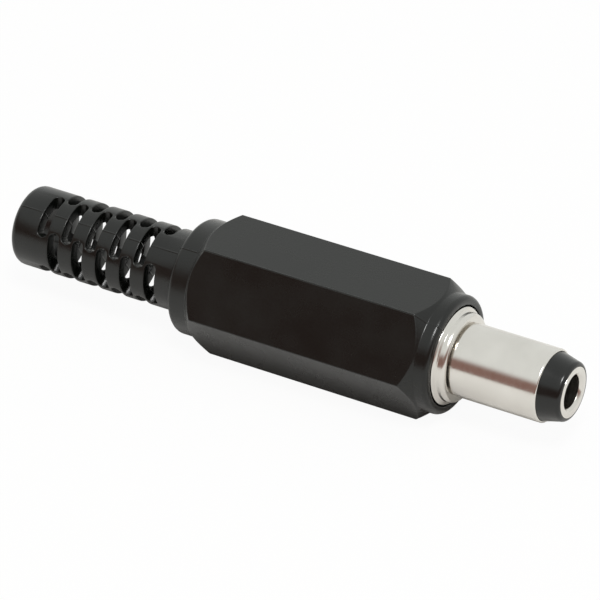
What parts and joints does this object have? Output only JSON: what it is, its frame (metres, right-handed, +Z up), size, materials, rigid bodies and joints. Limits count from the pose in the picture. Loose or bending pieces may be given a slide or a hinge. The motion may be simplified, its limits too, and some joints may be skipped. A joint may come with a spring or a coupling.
{
  "type": "dc barrel plug",
  "caption": "Straight barrel plug for low-voltage power, with a plated barrel, a black insulating nose and a screw-on hexagon hood with a slotted strain relief.",
  "frame": {"origin": "on the plug's axis at the root of the barrel, where its 5.5 mm wall begins", "axes": "+X along the barrel towards the tip, +Z up, square to the hood's flat that the plug lies on"},
  "size_m": [0.0459, 0.0106, 0.0092],
  "materials": {
    "hood_plastic": "satin black, moulded",
    "nickel": "nickel plate, bright",
    "nose_plastic": "gloss black, moulded",
    "washer_board": "brown laminated board",
    "tinned_sheet": "tinned, satin"
  },
  "bodies": {
    "plug": {"outer_sleeve": "nickel", "insulator": "nose_plastic", "inner_contact": "nickel", "rear_washer": "washer_board", "ground_terminal": "tinned_sheet", "centre_terminal": "tinned_sheet"},
    "hood": {"hood": "hood_plastic"}
  },
  "joints": [
    {"name": "hood_slide", "type": "slide", "parent": "plug", "child": "hood", "axis": [-1, 0, 0], "range_m": [0, 0.024]}
  ]
}
